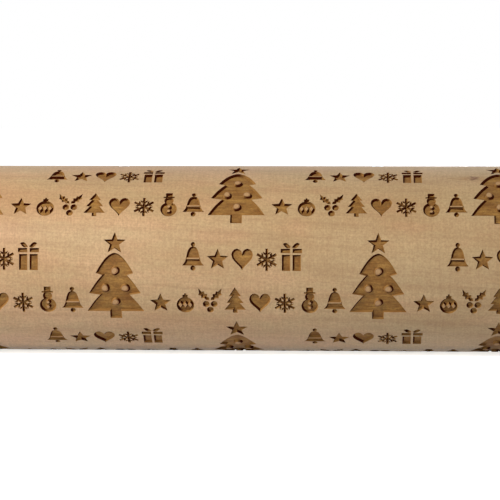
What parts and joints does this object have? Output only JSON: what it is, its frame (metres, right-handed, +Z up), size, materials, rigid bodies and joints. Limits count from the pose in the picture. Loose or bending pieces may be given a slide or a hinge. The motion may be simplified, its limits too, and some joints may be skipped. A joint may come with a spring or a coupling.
{
  "type": "rolling pin",
  "caption": "Wooden rolling pin with a carved pattern of fir trees and small ornaments round its barrel, which spins on ball bearings between turned handles.",
  "frame": {"origin": "middle of the barrel's axis, half way between the ends of the handles", "axes": "+X along the axle towards the right handle, +Z up, with the carved rows upright at the front, -Y"},
  "size_m": [0.43, 0.05, 0.05],
  "materials": {
    "barrel_wood": "bare sanded beech with a laser-burnt carving",
    "handle_wood": "bare turned and sanded beech",
    "axle_steel": "drawn bright steel rod",
    "bearing_steel": "ground bearing steel",
    "zinc_plated_steel": "bright zinc plating",
    "cage_nylon": "moulded black nylon"
  },
  "bodies": {
    "axle_and_handles": {"axle_rod": "axle_steel", "distance_tube": "zinc_plated_steel", "inner_race_left": "bearing_steel", "inner_race_right": "bearing_steel", "thrust_washer_left": "zinc_plated_steel", "thrust_washer_right": "zinc_plated_steel", "handle_left": "handle_wood", "handle_right": "handle_wood", "handle_washer_left": "zinc_plated_steel", "handle_washer_right": "zinc_plated_steel", "lock_nut_left": "zinc_plated_steel", "lock_nut_right": "zinc_plated_steel", "end_plug_left": "handle_wood", "end_plug_right": "handle_wood"},
    "barrel": {"barrel": "barrel_wood", "outer_race_left": "bearing_steel", "outer_race_right": "bearing_steel", "outer_shield_left": "zinc_plated_steel", "outer_shield_right": "zinc_plated_steel", "inner_shield_left": "zinc_plated_steel", "inner_shield_right": "zinc_plated_steel"},
    "bearing_cage_left": {"ball_cage_left": "cage_nylon", "bearing_ball_left_1": "bearing_steel", "bearing_ball_left_2": "bearing_steel", "bearing_ball_left_3": "bearing_steel", "bearing_ball_left_4": "bearing_steel", "bearing_ball_left_5": "bearing_steel", "bearing_ball_left_6": "bearing_steel", "bearing_ball_left_7": "bearing_steel"},
    "bearing_cage_right": {"ball_cage_right": "cage_nylon", "bearing_ball_right_1": "bearing_steel", "bearing_ball_right_2": "bearing_steel", "bearing_ball_right_3": "bearing_steel", "bearing_ball_right_4": "bearing_steel", "bearing_ball_right_5": "bearing_steel", "bearing_ball_right_6": "bearing_steel", "bearing_ball_right_7": "bearing_steel"}
  },
  "joints": [
    {"name": "barrel_spin", "type": "hinge", "parent": "axle_and_handles", "child": "barrel", "pos_m": [0, 0, 0], "axis": [1, 0, 0], "continuous": true},
    {"name": "cage_left_spin", "type": "hinge", "parent": "axle_and_handles", "child": "bearing_cage_left", "pos_m": [-0.1205, 0, 0], "axis": [1, 0, 0], "continuous": true},
    {"name": "cage_right_spin", "type": "hinge", "parent": "axle_and_handles", "child": "bearing_cage_right", "pos_m": [0.1205, 0, 0], "axis": [1, 0, 0], "continuous": true}
  ],
  "couplings": [
    {"joint": "cage_left_spin", "follows": "barrel_spin", "ratio": 0.63233},
    {"joint": "cage_right_spin", "follows": "barrel_spin", "ratio": 0.63233}
  ]
}
